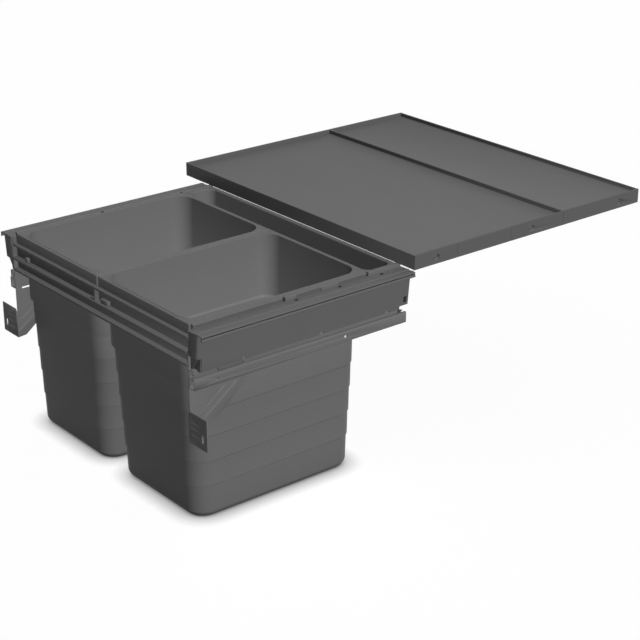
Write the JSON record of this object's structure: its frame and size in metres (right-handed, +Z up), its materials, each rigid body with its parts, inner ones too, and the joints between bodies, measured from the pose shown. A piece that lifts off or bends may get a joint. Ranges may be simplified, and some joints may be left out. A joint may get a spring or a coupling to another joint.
{
  "type": "pull out trash cabinet",
  "caption": "Pull-out waste unit: tapered bins with bag rings and a storage trough in a drawer on telescopic runners, door brackets in front and a cover lid drawn back.",
  "frame": {"origin": "middle of the unit's box at the level of the bins' feet, with the lid drawn back as in the picture", "axes": "+X to the unit's right, +Y to the rear of the cabinet, +Z up"},
  "size_m": [0.562, 0.829, 0.3367],
  "materials": {
    "trim_plastic": "fine matt grain, moulded",
    "frame_plastic": "fine matt grain, moulded",
    "bin_plastic": "fine matt grain, moulded",
    "profile_metal": "matt powder coat",
    "bracket_metal": "matt powder coat",
    "rail_metal": "matt powder coat",
    "middle_metal": "zinc plated",
    "fastener_metal": "dark zinc",
    "runner_plastic": "smooth moulded"
  },
  "bodies": {
    "cabinet_rails": {"left_cabinet_rail": "rail_metal", "right_cabinet_rail": "rail_metal"},
    "drawer": {"left_side_wall": "profile_metal", "right_side_wall": "profile_metal", "left_front_cap": "frame_plastic", "right_front_cap": "frame_plastic", "front_rail": "frame_plastic", "front_catch": "trim_plastic", "rear_rail": "frame_plastic", "carrier_frame": "frame_plastic", "left_strip": "trim_plastic", "right_strip": "trim_plastic", "frame_screws": "fastener_metal", "rear_tray": "trim_plastic", "left_front_bracket": "bracket_metal", "right_front_bracket": "bracket_metal", "bracket_screws": "fastener_metal", "left_drawer_rail": "rail_metal", "right_drawer_rail": "rail_metal", "lever_pins": "fastener_metal"},
    "middle_rails": {"left_middle_rail": "middle_metal", "right_middle_rail": "middle_metal"},
    "lower_cages": {"left_lower_cage": "runner_plastic", "right_lower_cage": "runner_plastic"},
    "upper_cages": {"left_upper_cage": "runner_plastic", "right_upper_cage": "runner_plastic"},
    "lid": {"lid_front_tray": "trim_plastic", "lid_rear_tray": "trim_plastic", "lid_left_rail": "frame_plastic", "lid_right_rail": "frame_plastic", "lid_bushes": "runner_plastic"},
    "left_bin_set": {"left_bin": "bin_plastic", "left_bag_ring": "trim_plastic"},
    "right_bin_set": {"right_bin": "bin_plastic", "right_bag_ring": "trim_plastic"},
    "left_lever": {"left_release_lever": "runner_plastic"},
    "right_lever": {"right_release_lever": "runner_plastic"}
  },
  "joints": [
    {"name": "drawer_slide", "type": "slide", "parent": "cabinet_rails", "child": "drawer", "axis": [0, 1, 0], "range_m": [-0.35, 0]},
    {"name": "middle_slide", "type": "slide", "parent": "cabinet_rails", "child": "middle_rails", "axis": [0, 1, 0], "range_m": [-0.175, 0]},
    {"name": "lower_cage_slide", "type": "slide", "parent": "cabinet_rails", "child": "lower_cages", "axis": [0, 1, 0], "range_m": [-0.0875, 0]},
    {"name": "upper_cage_slide", "type": "slide", "parent": "cabinet_rails", "child": "upper_cages", "axis": [0, 1, 0], "range_m": [-0.2625, 0]},
    {"name": "lid_slide", "type": "slide", "parent": "cabinet_rails", "child": "lid", "axis": [0, 1, 0], "range_m": [-0.356, 0]},
    {"name": "left_bin_lift", "type": "slide", "parent": "drawer", "child": "left_bin_set", "axis": [0, 0, 1], "range_m": [0, 0.31]},
    {"name": "right_bin_lift", "type": "slide", "parent": "drawer", "child": "right_bin_set", "axis": [0, 0, 1], "range_m": [0, 0.31]},
    {"name": "left_lever_turn", "type": "hinge", "parent": "drawer", "child": "left_lever", "pos_m": [-0.2456, -0.33349, 0.2414], "axis": [0, 0, -1], "range_deg": [0, 14], "stiffness_Nm_per_rad": 0.02, "springref_deg": -5.73},
    {"name": "right_lever_turn", "type": "hinge", "parent": "drawer", "child": "right_lever", "pos_m": [0.2456, -0.33349, 0.2414], "axis": [0, 0, 1], "range_deg": [0, 14], "stiffness_Nm_per_rad": 0.02, "springref_deg": -5.73}
  ],
  "couplings": [
    {"joint": "middle_slide", "follows": "drawer_slide", "ratio": 0.5},
    {"joint": "lower_cage_slide", "follows": "drawer_slide", "ratio": 0.25},
    {"joint": "upper_cage_slide", "follows": "drawer_slide", "ratio": 0.75}
  ]
}
